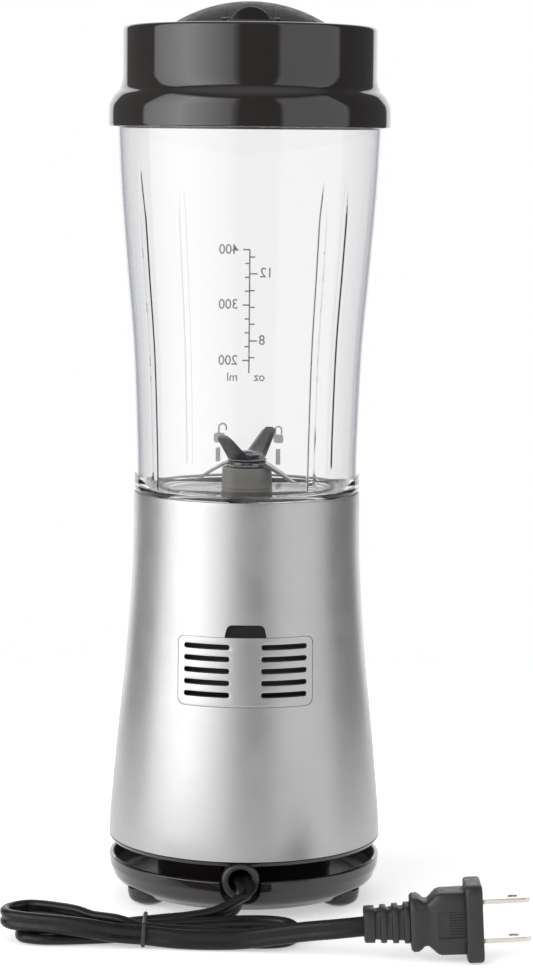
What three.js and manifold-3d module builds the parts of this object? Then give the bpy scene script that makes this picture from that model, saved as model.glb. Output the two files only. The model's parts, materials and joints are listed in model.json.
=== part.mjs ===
// A personal blender: motor base with a cord-wrap tray, clear travel jar with a blade unit in its
// floor, press-on drinking lid with a hinged cap, and a short flat power cord tied in a hank.
// Millimetres, +Z up. The origin is under the middle of the object, on the plane of its feet.
// The side with the pulse button faces +Y and the side with the vents and the cord faces -Y.
import * as THREE from 'three';
import { mergeVertices } from 'three/addons/utils/BufferGeometryUtils.js';
import Module from 'manifold-3d';

const wasm = await Module();
wasm.setup();

// ---------------------------------------------------------------- driving dimensions
const GAP = 0.3;                      // clearance kept between neighbouring pieces
const ROUND = 32;                     // sides of a large turned piece
const SMALL = 12;                     // sides of a small turned piece

const FOOT = { radius: 7.2, height: 6.0, flat: 2.6, circle: 37.3 };
const DISH = { bottom: 3.3, floor: 5.5, rim: 14.3 };
const CORE = { outer: 30, inner: 27.6, bottom: 5.8, top: 20.9, flange: 46.6, under: 19.2 };
const SCREW = { circle: 25, boss: 3.4, head: 3, shank: 1.3 };
const SHELL = { wall: 2.1 };
const VENT = {
  bottom: 72.4, top: 95.2, middle: 84.2, width: 44.6, column: 12.8, slot: 15.1, pitch: 3.95, high: 1.7,
};
const DRAIN = { bottom: 95.4, top: 99.2, wide: 14.2, narrow: 10.4 };
const SEAT = { floor: 100, thick: 2, outer: 36.2, inner: 34.4, top: 139.2 };
const LOCK = { bottom: 102.4, ledge: 103.8, top: 111, outer: 34.1, inner: 32.4, lug: 7, lugReach: 33.2 };
const JAR = { skirt: 32, skirtBottom: 104.4, step: 139.9, floor: 139.3, wall: 2.4, neck: 40.7, rim: 286 };
const LID = { radius: 48, bottom: 262.7, side: 43.15, top: 296.5, plate: 293.9 };
const MOUND = { y: 19, halfX: 29, halfY: 19.2, rise: 9.4 };
const CAP = {
  width: 15.4, bottom: 298.7, pinY: 1.6, pinZ: 298.3, pin: 0.55, knuckle: 1.4, stub: 5, stubY: 21,
};
const HUB = { radius: 8.5, top: 148, flange: 14, bottom: 130.5, flangeTop: 136.9 };
const BLADE = { thick: 1, width: 9, hole: 2.3, upReach: 18, downReach: 19.3, upTurn: 64, downTurn: -26 };
const SHAFT = { motor: 2.5, blade: 2 };
const MOTOR = { half: 25, bottom: 56, top: 79, bore: 16.2, rotor: 15.6 };
const BUTTON = { z: 85, radius: 12, back: 35.6, face: 42.4 };
const OUTLET = { x: -1, z: 14.4, radius: 6.3 };
const CORD = { radius: 2.5, hankBottom: 0.4, hankTop: 8.6 };
const TIE = { x: -32, half: 1.1, y0: -77.5, y1: -61.4, z0: 0.1, z1: 9.2, wall: 1.3 };
const PLUG = { x: 76, y: -84.2, z: 12.9, tilt: 3, pitch: 12.7 };

// ---------------------------------------------------------------- geometry helpers
const rad = THREE.MathUtils.degToRad;
const at = (x, y) => new THREE.Vector2(x, y);

// A turned piece about the Z axis; the outline is a closed list of [radius, z] going anticlockwise.
function lathe(outline, sides = ROUND) {
  const points = outline.map(([r, z]) => at(r, z));
  const first = points[0];
  if (first.x > 0 || points.at(-1).x > 0) points.push(first.clone());
  const turned = new THREE.LatheGeometry(points, sides);
  turned.rotateX(Math.PI / 2);
  return turned;
}

// Points along a smooth line through a few [radius, z] points.
function smooth(points, count) {
  return new THREE.SplineCurve(points.map(([r, z]) => at(r, z))).getPoints(count).map((p) => [p.x, p.y]);
}

// Points on an arc of an ellipse, with angles in degrees.
function arc(cx, cy, rx, ry, from, to, count) {
  return Array.from({ length: count + 1 }, (_, i) => {
    const a = rad(from + ((to - from) * i) / count);
    return [cx + rx * Math.cos(a), cy + ry * Math.sin(a)];
  });
}

function box(x0, x1, y0, y1, z0, z1) {
  const block = new THREE.BoxGeometry(x1 - x0, y1 - y0, z1 - z0);
  return block.translate((x0 + x1) / 2, (y0 + y1) / 2, (z0 + z1) / 2);
}

function rod(radius, z0, z1, x = 0, y = 0, sides = SMALL) {
  const bar = new THREE.CylinderGeometry(radius, radius, z1 - z0, sides);
  return bar.rotateX(Math.PI / 2).translate(x, y, (z0 + z1) / 2);
}

// A round bar lying along Y.
function rodY(radius, y0, y1, x, z, sides = SMALL) {
  return new THREE.CylinderGeometry(radius, radius, y1 - y0, sides).translate(x, (y0 + y1) / 2, z);
}

const ring = (inner, outer, z0, z1, sides = SMALL) =>
  lathe([[inner, z0], [outer, z0], [outer, z1], [inner, z1]], sides);

// A flat outline of [x, y] points raised along Z.
function slab(outline, z0, z1, holes = []) {
  const shape = new THREE.Shape(outline.map(([x, y]) => at(x, y)));
  for (const hole of holes) shape.holes.push(new THREE.Path(hole.map(([x, y]) => at(x, y))));
  const raised = new THREE.ExtrudeGeometry(shape, { depth: z1 - z0, bevelEnabled: false, curveSegments: 6 });
  return raised.translate(0, 0, z0);
}

// An outline of [x, z] points carried along Y from y0 to y1.
function slabY(outline, y0, y1) {
  return slab(outline, -y1, -y0).rotateX(Math.PI / 2);
}

function solid(geometry) {
  const plain = geometry.clone();
  plain.deleteAttribute('normal');
  plain.deleteAttribute('uv');
  const merged = mergeVertices(plain, 1e-4);
  return new wasm.Manifold(new wasm.Mesh({
    numProp: 3,
    vertProperties: new Float32Array(merged.attributes.position.array),
    triVerts: new Uint32Array(merged.index.array),
  }));
}

function geometryOf(manifold) {
  const mesh = manifold.getMesh();
  const geometry = new THREE.BufferGeometry();
  geometry.setAttribute('position', new THREE.BufferAttribute(new Float32Array(mesh.vertProperties), 3));
  geometry.setIndex(new THREE.BufferAttribute(new Uint32Array(mesh.triVerts), 1));
  geometry.computeVertexNormals();
  return geometry;
}

const cut = (body, ...tools) =>
  geometryOf(tools.reduce((left, tool) => left.subtract(solid(tool)), solid(body)));
const join = (body, ...more) => geometryOf(more.reduce((all, piece) => all.add(solid(piece)), solid(body)));
const common = (a, b) => geometryOf(solid(a).intersect(solid(b)));

// ---------------------------------------------------------------- materials
const finish = (color, roughness, metalness = 0, extra = {}) =>
  new THREE.MeshStandardMaterial({ color, roughness, metalness, ...extra });

const SILVER = finish(0xb9bbbe, 0.34, 0.75);
const BLACK = finish(0x141414, 0.16);
const SATIN = finish(0x1c1c1d, 0.45);
const CLEAR = finish(0xeef1f4, 0.05, 0, { transparent: true, opacity: 0.3 });
const BEIGE = finish(0x8f8a80, 0.5);
const STEEL = finish(0xb8bcc0, 0.22, 1);
const IRON = finish(0x6c7075, 0.45, 0.9);
const COPPER = finish(0xb3622c, 0.35, 0.9);
const BRONZE = finish(0xa5743a, 0.4, 0.9);
const CARBON = finish(0x303030, 0.7);
const RUBBER = finish(0x19191a, 0.75);
const WHITE = finish(0xe4e4e0, 0.45);
const NICKEL = finish(0xc9c6bf, 0.25, 1);
const CABLE = finish(0x191a1b, 0.38);

const blender = new THREE.Group();

function add(name, geometry, material, parent = blender) {
  const mesh = new THREE.Mesh(geometry, material);
  mesh.name = name;
  parent.add(mesh);
  return mesh;
}

// ---------------------------------------------------------------- outlines shared by neighbours
const shellLine = [[46.6, 21.2], [46.0, 32], [43.5, 59.7], [40.75, 87.7], [38.9, 115.6], [38.6, 139.6]];
const jarLine = [[38.7, 146], [38.95, 158], [40.2, 188], [42.6, 216], [44.6, 241], [45.7, 262]];
const shellWall = (inset, count) => smooth(shellLine, count).map(([r, z]) => [r - inset, z]);

// A curved wall that follows the shell, inset from its outside and so thick.
function shellSkin(inset, thick) {
  return lathe([...shellWall(inset, 7), ...shellWall(inset + thick, 7).reverse()]);
}

// ---------------------------------------------------------------- tray, core and feet
const circlePlaces = (radius, turns) =>
  turns.map((turn) => [radius * Math.cos(rad(turn)), radius * Math.sin(rad(turn))]);
const footPlaces = circlePlaces(FOOT.circle, [90, 210, 330]);
const screwPlaces = circlePlaces(SCREW.circle, [30, 150, 225]);

function makeTray() {
  const outside = [[40.6, 3.3], [43.4, 4.8], [45.2, 7.5], [46.3, 10.6], [46.4, 13]];
  const inside = [[44.6, 13.2], [44.2, 10.2], [42.6, 7], [39.4, 5.5]];
  const plate = lathe([[0, DISH.bottom], ...outside, [45.6, DISH.rim], ...inside, [0, DISH.floor]]);
  const pockets = footPlaces.map(([x, y]) => rod(FOOT.radius + GAP, 0, FOOT.height + GAP, x, y));
  const screws = screwPlaces.map(([x, y]) => rod(SCREW.head + GAP, 0, 20, x, y, 12));
  const notch = join(
    rodY(OUTLET.radius + GAP, -60, -38, OUTLET.x, OUTLET.z),
    box(OUTLET.x - 6.6, OUTLET.x + 6.6, -60, -38, OUTLET.z, 30),
  );
  return cut(plate, ...pockets, ...screws, notch);
}

function makeCore() {
  const edge = arc(CORE.flange - 1.5, CORE.top, 1.5, CORE.top - CORE.under, -90, -12, 3);
  const hat = lathe([
    [CORE.inner, CORE.bottom], [CORE.outer, CORE.bottom], [CORE.outer, CORE.under], ...edge,
    [CORE.flange, CORE.top], [CORE.inner, CORE.top],
  ]);
  const bosses = screwPlaces.map(([x, y]) => rod(SCREW.boss, CORE.bottom, CORE.top, x, y, 12));
  const holes = screwPlaces.map(([x, y]) => rod(SCREW.shank + GAP, 5, 19, x, y, 8));
  const outlet = rodY(OUTLET.radius + GAP, -60, -20, OUTLET.x, OUTLET.z);
  return cut(join(hat, ...bosses), ...holes, outlet);
}

add('base_core', makeCore(), BLACK);
add('spool_dish', makeTray(), BLACK);

footPlaces.forEach(([x, y], i) => {
  const dome = arc(FOOT.flat, FOOT.height - 1.6, FOOT.radius - FOOT.flat, FOOT.height - 1.6, -90, 0, 4);
  const foot = lathe([[0, 0], ...dome, [FOOT.radius, FOOT.height], [0, FOOT.height]], 20);
  add(`foot_${['front', 'left', 'right'][i]}`, foot.translate(x, y, 0), RUBBER);
});

screwPlaces.forEach(([x, y], i) => {
  const { head, shank } = SCREW;
  const outline = [[0, 3.6], [head, 3.6], [head, 5.2], [shank, 5.4], [shank, 17], [0, 18]];
  add(`base_screw_${i + 1}`, lathe(outline, 8).translate(x, y, 0), STEEL);
});

// ---------------------------------------------------------------- shell, grille and drain
function drainBlock(grow, y0, y1) {
  const w = DRAIN.wide / 2 + grow;
  const n = DRAIN.narrow / 2 + grow;
  const [low, high] = [DRAIN.bottom - grow, DRAIN.top + grow];
  return slabY([[-w, low], [w, low], [w, low + 0.8], [n, high], [-n, high], [-w, low + 0.8]], y0, y1);
}

function ventWindow(grow) {
  const half = VENT.width / 2 + grow;
  return box(-half, half, -60, -20, VENT.bottom - grow, VENT.top + grow);
}

function makeShell() {
  const button = rodY(BUTTON.radius + 0.4, 20, 60, 0, BUTTON.z, 24);
  return cut(shellSkin(0, SHELL.wall), ventWindow(GAP), drainBlock(GAP, -60, -20), button);
}

function makeGrille() {
  const panel = common(shellSkin(0.2, 1.8), ventWindow(0));
  const slots = [];
  for (const side of [-1, 1]) {
    for (let row = -2; row <= 2; row += 1) {
      const [x, z] = [side * VENT.column, VENT.middle + row * VENT.pitch];
      slots.push(box(x - VENT.slot / 2, x + VENT.slot / 2, -60, -20, z - VENT.high / 2, z + VENT.high / 2));
    }
  }
  return cut(panel, ...slots);
}

add('base_shell', makeShell(), SILVER);
add('vent_grille', makeGrille(), SILVER);
add('drain_spout', cut(drainBlock(0, -39.6, -36.6), drainBlock(-0.9, -45, -30)), BLACK);

// ---------------------------------------------------------------- jar seat, lock ring, interlock
// The bayonet lugs of the jar's skirt, or with a margin the notches that they drop into.
function lockLugs(grow, z0, z1) {
  const half = LOCK.lug / 2 + grow;
  return [0, 120, 240].map((turn) => box(31, LOCK.lugReach + grow, -half, half, z0, z1).rotateZ(rad(turn)));
}

const seatFloor = SEAT.floor + SEAT.thick;
add('jar_seat', lathe([
  [6, SEAT.floor], [SEAT.outer, SEAT.floor], [SEAT.outer, SEAT.top], [SEAT.inner, SEAT.top],
  [SEAT.inner, seatFloor], [6, seatFloor],
]), SATIN);
add('lock_ring', cut(ring(30, LOCK.outer, LOCK.bottom, LOCK.top, ROUND),
  rod(LOCK.inner, LOCK.ledge, 130, 0, 0, ROUND), ...lockLugs(GAP, LOCK.ledge, 130)), WHITE);
add('interlock_switch', box(18, 30, -6, 6, 91.5, SEAT.floor - GAP), CARBON);

// ---------------------------------------------------------------- motor
const boltPlaces = [[19, 19], [-19, -19]];

function makeStator() {
  const half = MOTOR.half;
  const corner = 6;
  const outline = [
    [half, -half + corner], [half, half - corner], [half - corner, half], [-half + corner, half],
    [-half, half - corner], [-half, -half + corner], [-half + corner, -half], [half - corner, -half],
  ];
  const bore = arc(0, 0, MOTOR.bore, MOTOR.bore, 0, 345, 23);
  return cut(slab(outline, MOTOR.bottom, MOTOR.top, [bore]),
    ...boltPlaces.map(([x, y]) => rod(2, 40, 95, x, y, 8)));
}

function makeBracket(z0, z1) {
  const bar = slab([[-25, -7], [25, -7], [25, 25], [14, 25], [14, 7], [-25, 7]], z0, z1);
  const arm = box(-25, -14, -25, -6, z0, z1);
  const holes = boltPlaces.map(([x, y]) => rod(2, z0 - 1, z1 + 1, x, y, 8));
  return cut(join(bar, arm), ...holes, rod(5.6, z0 - 1, z1 + 1));
}

add('motor_stator', makeStator(), IRON);
for (const [name, side] of [['left', -1], ['right', 1]]) {
  const coil = cut(ring(16.5, 21.5, MOTOR.top + GAP, MOTOR.top + 5, 24),
    box(-30 * (side > 0 ? 1 : 0.12), 30 * (side > 0 ? 0.12 : 1), -30, 30, 60, 100));
  add(`field_coil_${name}`, coil, COPPER);
}
add('lower_bracket', makeBracket(38, 41), STEEL);
add('upper_bracket', makeBracket(88, 91), STEEL);
add('lower_bearing', ring(2.8, 5.3, 38.2, 40.8), BRONZE);
add('upper_bearing', ring(2.8, 5.3, 88.2, 90.8), BRONZE);
boltPlaces.forEach(([x, y], i) => {
  const bolt = lathe([[0, 35.2], [3, 35.2], [3, 37.7], [1.6, 37.7], [1.6, 93], [0, 93]], 8);
  add(`motor_bolt_${i + 1}`, bolt.translate(x, y, 0), STEEL);
});
[[-14, -1], [14, -1]].forEach(([x, y], i) => {
  add(`motor_mount_${i + 1}`, rod(3.2, 91.3, SEAT.floor - GAP, x, y, 12), RUBBER);
});

add('motor_shaft', rod(SHAFT.motor, 27, 112, 0, 0), STEEL);
add('motor_rotor', lathe([
  [SHAFT.motor + GAP, 51.6], [11, 51.6], [13.5, MOTOR.bottom], [MOTOR.rotor, MOTOR.bottom],
  [MOTOR.rotor, MOTOR.top], [13.5, MOTOR.top], [11, 84], [SHAFT.motor + GAP, 84],
], 24), IRON);
add('commutator', ring(SHAFT.motor + GAP, 8, 43, 51.1), COPPER);
for (const [name, side] of [['left', -1], ['right', 1]]) {
  const reach = [side * 8.3, side * 19].sort((a, b) => a - b);
  add(`carbon_brush_${name}`, box(...reach, -2.5, 2.5, 44.5, 49.5), CARBON);
}

function makeFan() {
  const disc = ring(SHAFT.motor + GAP, 27, 29, 30.4, 24);
  const hub = ring(SHAFT.motor + GAP, 6, 30, 35.5, 12);
  const vanes = Array.from({ length: 8 }, (_, i) => box(5.5, 26.5, -0.6, 0.6, 30, 34.6).rotateZ(rad(i * 45)));
  return join(disc, hub, ...vanes);
}
add('cooling_fan', makeFan(), WHITE);

// ---------------------------------------------------------------- couplings
function makeCoupling(z0, z1, dogEnd, bore, turn, tall) {
  const dogs = [0, 120, 240].map((step) =>
    box(5, 8, -1.2, 1.2, Math.min(z1 - 0.5, dogEnd), Math.max(z0 + 0.5, dogEnd)).rotateZ(rad(step + turn)));
  return cut(join(rod(9, z0, z1, 0, 0, 20), ...dogs), tall);
}
add('drive_coupling', makeCoupling(104, 112.8, 117, 0, 0, rod(SHAFT.motor + GAP, 100, 112.4)), SATIN);
add('jar_coupling', makeCoupling(117.4, 126, 113.2, 0, 60, rod(SHAFT.blade + GAP, 119, 130)), SATIN);

// ---------------------------------------------------------------- pulse button
function makeButton() {
  const { back, face, radius } = BUTTON;
  const outline = [
    [0, back - 5], [2.5, back - 5], [2.5, back - 1.4], [radius + 1.4, back - 1.4],
    [radius + 1.4, back], [radius, back], [radius, face - 1.6], [radius - 1, face - 0.5], [0, face],
  ];
  return lathe(outline, 24).rotateX(-Math.PI / 2).translate(0, 0, BUTTON.z);
}

function makeSpring() {
  const turns = 4;
  const [from, to] = [29, BUTTON.back - 2];
  const helix = new THREE.CatmullRomCurve3(Array.from({ length: turns * 8 + 1 }, (_, i) => {
    const turn = rad(i * 45);
    const along = from + ((to - from) * i) / (turns * 8);
    return new THREE.Vector3(4 * Math.cos(turn), along, BUTTON.z + 4 * Math.sin(turn));
  }));
  const wire = new THREE.Shape(arc(0, 0, 0.45, 0.45, 0, 300, 5).map(([x, y]) => at(x, y)));
  return new THREE.ExtrudeGeometry(wire, { steps: turns * 10, bevelEnabled: false, extrudePath: helix });
}
add('pulse_button', makeButton(), BLACK);
add('button_spring', makeSpring(), STEEL);
add('pulse_switch', cut(box(-10, 10, 22, 28.4, 80, 90), rodY(3.2, 24, 30, 0, BUTTON.z, 12)), CARBON);

// ---------------------------------------------------------------- jar
function makeJar() {
  const outer = smooth(jarLine, 7);
  const inner = outer.map(([r, z]) => [r - JAR.wall, z]).reverse();
  const cup = lathe([
    [8.7, JAR.floor - 2.1], [30, JAR.floor - 2.1], [30, JAR.skirtBottom], [JAR.skirt, JAR.skirtBottom],
    [JAR.skirt, JAR.step], [38.6, JAR.step], ...outer,
    [45.7, 268], [JAR.neck, 271], [JAR.neck, JAR.rim], [38.4, JAR.rim], [38.4, 271.5], [43.3, 267],
    ...inner, [35.4, JAR.floor + 2.4], [31, JAR.floor + 2], [29, JAR.floor], [8.7, JAR.floor],
  ]);
  return join(cup, ...lockLugs(0, JAR.skirtBottom + 0.4, 109));
}
add('jar', makeJar(), CLEAR);

const hubTop = arc(HUB.radius - 1.6, HUB.top - 1.6, 1.6, 1.6, 0, 90, 3);
add('blade_hub', lathe([
  [3.4, HUB.bottom], [HUB.flange, HUB.bottom], [HUB.flange, HUB.flangeTop], [8.3, HUB.flangeTop],
  [8.3, 139.6], [HUB.radius + 0.3, 139.7], ...hubTop, [3.4, HUB.top],
], 24), BEIGE);
add('blade_bushing', ring(SHAFT.blade + GAP, 3.1, HUB.bottom + 0.4, HUB.top - 2.4), BRONZE);
add('shaft_seal', ring(SHAFT.blade + GAP, 3.1, HUB.top - 2.1, HUB.top), RUBBER);

// ---------------------------------------------------------------- blades
// A bent strip: flat over the shaft, then out and up (or down) to two pointed ends.
function makeBlade(level, reach, rise, turn) {
  const bend = 6.5;
  const t = BLADE.thick;
  const strip = slabY([
    [-reach, level + rise], [-bend, level], [bend, level], [reach, level + rise],
    [reach - 0.4, level + rise + t], [bend - 0.3, level + t], [-bend + 0.3, level + t],
    [-reach + 0.4, level + rise + t],
  ], -BLADE.width, BLADE.width);
  const half = BLADE.width / 2;
  const plan = slab([
    [-reach - 1, -1], [-bend, -half], [bend, -half], [reach + 1, -1.6], [reach + 1, 1],
    [bend, half], [-bend, half], [-reach - 1, 1.6],
  ], 120, 180);
  return cut(common(strip, plan), rod(BLADE.hole, 120, 180)).rotateZ(rad(turn));
}
add('lower_washer', ring(BLADE.hole, 7, 148.3, 149.1), STEEL);
add('blade_down', makeBlade(149.5, BLADE.downReach, -7.2, BLADE.downTurn), STEEL);
add('blade_up', makeBlade(150.9, BLADE.upReach, 7.6, BLADE.upTurn), STEEL);
add('blade_nut', lathe([
  [BLADE.hole, 152.2], [5, 152.2], [5, 152.7], [4, 152.8], [4, 153.3], [BLADE.hole, 153.3],
], 12), STEEL);
add('blade_shaft', rod(SHAFT.blade, 119.4, 153.6), STEEL);

// ---------------------------------------------------------------- lid and cap
function lidCup() {
  const flare = smooth([[48, 268.6], [47.5, 271.5], [45.3, 274.6], [43.5, 277.3], [LID.side, 280]], 5);
  return lathe([
    [0, LID.plate], [41.1, LID.plate], [41.1, 273], [46.3, 269.4], [46.3, LID.bottom],
    [47.4, LID.bottom], [LID.radius, 263.4], ...flare,
    ...arc(LID.side - 1.6, LID.top - 1.6, 1.6, 1.6, 0, 90, 2), [0, LID.top],
  ]);
}

// The oval rise over the drinking hole: the cap of a sphere, narrowed along Y.
function moundSolid() {
  const { halfX, halfY, rise, y } = MOUND;
  const sphere = (halfX ** 2 + rise ** 2) / (2 * rise);
  const edge = THREE.MathUtils.radToDeg(Math.acos(halfX / sphere));
  const dome = arc(0, rise - sphere, sphere, sphere, edge, 90, 6);
  dome[dome.length - 1] = [0, rise];
  return lathe([[0, -0.1], [halfX, -0.1], ...dome], 28).scale(1, halfY / halfX, 1).translate(0, y, LID.top);
}

function barX(radius, long, y, z, sides = SMALL) {
  return new THREE.CylinderGeometry(radius, radius, long, sides).rotateZ(Math.PI / 2).translate(0, y, z);
}

function capSlot(grow) {
  const half = CAP.width / 2 + grow;
  return box(-half, half, -8, 60, CAP.bottom - grow, 320);
}

function makeLid() {
  const reach = CAP.width / 2 + GAP;
  const gate = box(-reach, reach, CAP.pinY - 3, CAP.pinY + 3, LID.top, CAP.bottom);
  const swing = barX(CAP.knuckle + 2 * GAP, CAP.width + 2 * GAP, CAP.pinY, CAP.pinZ);
  const barrel = barX(1.3, 20, CAP.pinY, CAP.pinZ);
  const posts = box(-10, 10, CAP.pinY - 1.3, CAP.pinY + 1.3, LID.top - 1, CAP.pinZ);
  const drinkHole = rod(CAP.stub + 0.9, 280, 310, 0, CAP.stubY);
  const pinHole = barX(CAP.pin + GAP, 40, CAP.pinY, CAP.pinZ, 10);
  return cut(join(lidCup(), moundSolid(), barrel, posts), capSlot(GAP), gate, swing, drinkHole, pinHole);
}

function makeFlipCap() {
  const leaf = common(moundSolid(), capSlot(0));
  const knuckle = barX(CAP.knuckle, CAP.width, CAP.pinY, CAP.pinZ);
  const tab = common(rodY(CAP.width / 2, CAP.pinY - 1.2, CAP.pinY + 1.6, 0, LID.top - 1, 24),
    box(-20, 20, -10, 10, CAP.pinZ, 310));
  const stub = rod(CAP.stub, LID.plate + 0.3, CAP.bottom + 2, 0, CAP.stubY);
  return cut(join(leaf, knuckle, tab, stub), barX(CAP.pin + GAP, 40, CAP.pinY, CAP.pinZ, 10));
}

add('travel_lid', makeLid(), BLACK);
add('lid_gasket', ring(38.6, 40.8, JAR.rim + GAP, JAR.rim + 2.3, ROUND), WHITE);
add('flip_cap', makeFlipCap(), BLACK);
add('flip_cap_pin', barX(CAP.pin, 19, CAP.pinY, CAP.pinZ, 10), STEEL);

// ---------------------------------------------------------------- cord outlet, cord and hank
const cordStart = [
  [-1, -14, 14.2], [-1, -30, 14.3], [-1, -37, 14.3], [-0.4, -42.4, 14.2], [0.6, -46.4, 12.7],
  [-0.8, -50, 9.8], [-4, -53.4, 7.3], [-7.6, -56.2, 5.6],
];
const cordEnd = [[6, -79.4, 4.9], [13, -80, 6], [21, -81.2, 7.6], [29, -83, 8.9], [37.6, -84, 10.4]];
const hankOutline = [
  [-79, -59], [-71.5, -53.3], [-64, -55], [-57, -56.8], [-49.5, -58.8], [-41, -61.6], [-32, -62.6],
  [-22, -60.8], [-10, -59.6], [0, -58.4], [8.8, -59.4], [16.2, -64.4], [17.8, -70.6], [12.6, -75.6],
  [2, -76.5], [-12, -77], [-22, -77], [-32, -76.2], [-50, -75.9], [-62, -74.3], [-72, -70.6],
];

function makeCordTube(points) {
  const route = new THREE.CatmullRomCurve3(points.map((p) => new THREE.Vector3(...p)));
  const section = new THREE.Shape(arc(0, 0, CORD.radius, CORD.radius, 0, 315, 7).map(([x, y]) => at(x, y)));
  const steps = Math.ceil(route.getLength() / (5 * CORD.radius)) + 3;
  return new THREE.ExtrudeGeometry(section, { steps, bevelEnabled: false, extrudePath: route });
}

// The space inside the tie's outline, less an inset all round, reaching so far either side of its middle.
function tieBox(inset, reach) {
  const { x, y0, y1, z0, z1 } = TIE;
  return box(x - reach, x + reach, y0 + inset, y1 - inset, z0 + inset, z1 - inset);
}

function makeHank() {
  const line = new THREE.CatmullRomCurve3(hankOutline.map(([x, y]) => new THREE.Vector3(x, y, 0)), true);
  const outline = line.getPoints(44).slice(0, -1).map((p) => [p.x, p.y]);
  const half = TIE.half + GAP;
  const groove = cut(box(TIE.x - half, TIE.x + half, -90, -40, -10, 20), tieBox(TIE.wall + GAP, half + 1));
  return cut(slab(outline, CORD.hankBottom, CORD.hankTop), groove);
}

add('cord_bushing', lathe([
  [4, -18.5], [5.2, -18.5], [5.6, 3], [OUTLET.radius, 6.4], [OUTLET.radius - 0.4, 7], [4.7, 4], [4, 0],
], 16).rotateX(Math.PI / 2).translate(OUTLET.x, -38.6, OUTLET.z), BLACK);
const clampBlock = box(OUTLET.x - 8, OUTLET.x + 8, -19.7, -14.4, CORE.bottom, 18.5);
add('cord_clamp', cut(clampBlock, rodY(CORD.radius + GAP, -26, -10, OUTLET.x, 14.2, 12)), SATIN);
add('power_cord', makeCordTube(cordStart), CABLE);
add('cord_hank', makeHank(), CABLE);
add('cord_tie', cut(tieBox(0, TIE.half), tieBox(TIE.wall, TIE.half + 4)), RUBBER);
add('power_cord_end', makeCordTube(cordEnd), CABLE);

// ---------------------------------------------------------------- plug
// Its own frame has the outer face of the flange at x = 0 and the cord coming in from -X.
const plug = new THREE.Group();
plug.position.set(PLUG.x, PLUG.y, PLUG.z);
plug.rotation.y = rad(-PLUG.tilt);
blender.add(plug);

function makePlugBody() {
  const side = [[-16.5, 4.6], [-13, 9.4], [-4, 9.4], [-4, -9.4], [-13, -9.4], [-16.5, -4.6]];
  const flange = box(-5.2, 0, -8, 8, -12.6, 12.6);
  const body = slabY(side, -5.5, 5.5);
  const neck = box(-21, -14, -4, 4, -6.6, 6.6);
  const collar = box(-23.4, -20, -5.4, 5.4, -8.2, 8.2);
  const relief = lathe([[0, 0], [4.2, 0], [5.4, 15], [0, 15]], 12).rotateY(Math.PI / 2);
  return join(flange, body, neck, collar, relief.translate(-37.6, 0, 0));
}

function makePlugBlade() {
  const plan = [[GAP, -3.2], [14.2, -3.2], [16, -1.8], [16, 1.8], [14.2, 3.2], [GAP, 3.2]];
  return slab(plan, -0.75, 0.75, [arc(10.6, 0, 1.6, 1.6, 0, 315, 7)]);
}

add('plug_body', makePlugBody(), SATIN, plug);
for (const [name, side] of [['upper', 1], ['lower', -1]]) {
  const prong = makePlugBlade().translate(0, 0, (side * PLUG.pitch) / 2);
  add(`plug_blade_${name}`, prong, NICKEL, plug);
}

export default blender;
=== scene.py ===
"""A personal blender, seen from its rear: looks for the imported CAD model.

Lengths in this file are millimetres until they reach a mesh, which is in metres.
"""
import json
import math

import bmesh
import bpy
from mathutils import Matrix, Vector


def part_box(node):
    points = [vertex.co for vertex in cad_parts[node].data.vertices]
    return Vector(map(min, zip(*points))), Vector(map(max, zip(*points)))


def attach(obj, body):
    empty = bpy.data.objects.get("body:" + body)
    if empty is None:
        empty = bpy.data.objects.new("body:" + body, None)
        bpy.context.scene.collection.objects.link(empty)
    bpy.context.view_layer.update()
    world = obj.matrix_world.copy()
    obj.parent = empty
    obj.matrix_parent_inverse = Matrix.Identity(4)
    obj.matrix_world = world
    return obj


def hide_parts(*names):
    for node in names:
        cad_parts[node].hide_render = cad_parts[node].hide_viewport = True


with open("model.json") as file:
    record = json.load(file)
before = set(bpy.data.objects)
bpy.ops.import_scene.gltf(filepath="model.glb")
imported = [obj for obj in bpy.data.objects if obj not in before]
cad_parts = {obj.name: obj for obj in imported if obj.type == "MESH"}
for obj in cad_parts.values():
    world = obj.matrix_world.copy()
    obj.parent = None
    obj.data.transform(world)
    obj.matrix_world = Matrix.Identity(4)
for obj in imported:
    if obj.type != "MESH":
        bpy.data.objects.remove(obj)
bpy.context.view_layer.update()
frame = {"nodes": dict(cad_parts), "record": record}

MM = 0.001

# Fine steps for round pieces.
ROUND = 192
SMALL = 64

# Shared outlines, [radius, height], the same as the CAD model's.
SHELL_LINE = [(46.6, 21.2), (46.0, 32), (43.5, 59.7), (40.75, 87.7), (38.9, 115.6), (38.6, 139.6)]
JAR_LINE = [(38.7, 146), (38.95, 158), (40.2, 188), (42.6, 216), (44.6, 241), (45.7, 262)]


# ------------------------------------------------------------------ outlines
def node_box(node):
    """Lowest and highest corner of a CAD node, in millimetres."""
    low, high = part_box(node)
    return Vector(low) / MM, Vector(high) / MM


def catmull(points, per_span):
    """A smooth open line through the points, which are tuples of any length."""
    last = len(points) - 1
    axes = range(len(points[0]))
    out = []
    for i in range(last):
        quad = [points[min(max(k, 0), last)] for k in (i - 1, i, i + 1, i + 2)]
        for step in range(per_span):
            t = step / per_span
            weights = (
                (-t + 2 * t * t - t ** 3) / 2,
                (2 - 5 * t * t + 3 * t ** 3) / 2,
                (t + 4 * t * t - 3 * t ** 3) / 2,
                (t ** 3 - t * t) / 2,
            )
            out.append(tuple(sum(w * p[axis] for w, p in zip(weights, quad)) for axis in axes))
    out.append(tuple(points[-1]))
    return out


def along(line, z):
    """The radius at height z on a list of (radius, height) going up."""
    for (r0, z0), (r1, z1) in zip(line, line[1:]):
        if z <= z1:
            return r0 + (r1 - r0) * (z - z0) / (z1 - z0)
    return line[-1][0]


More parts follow.
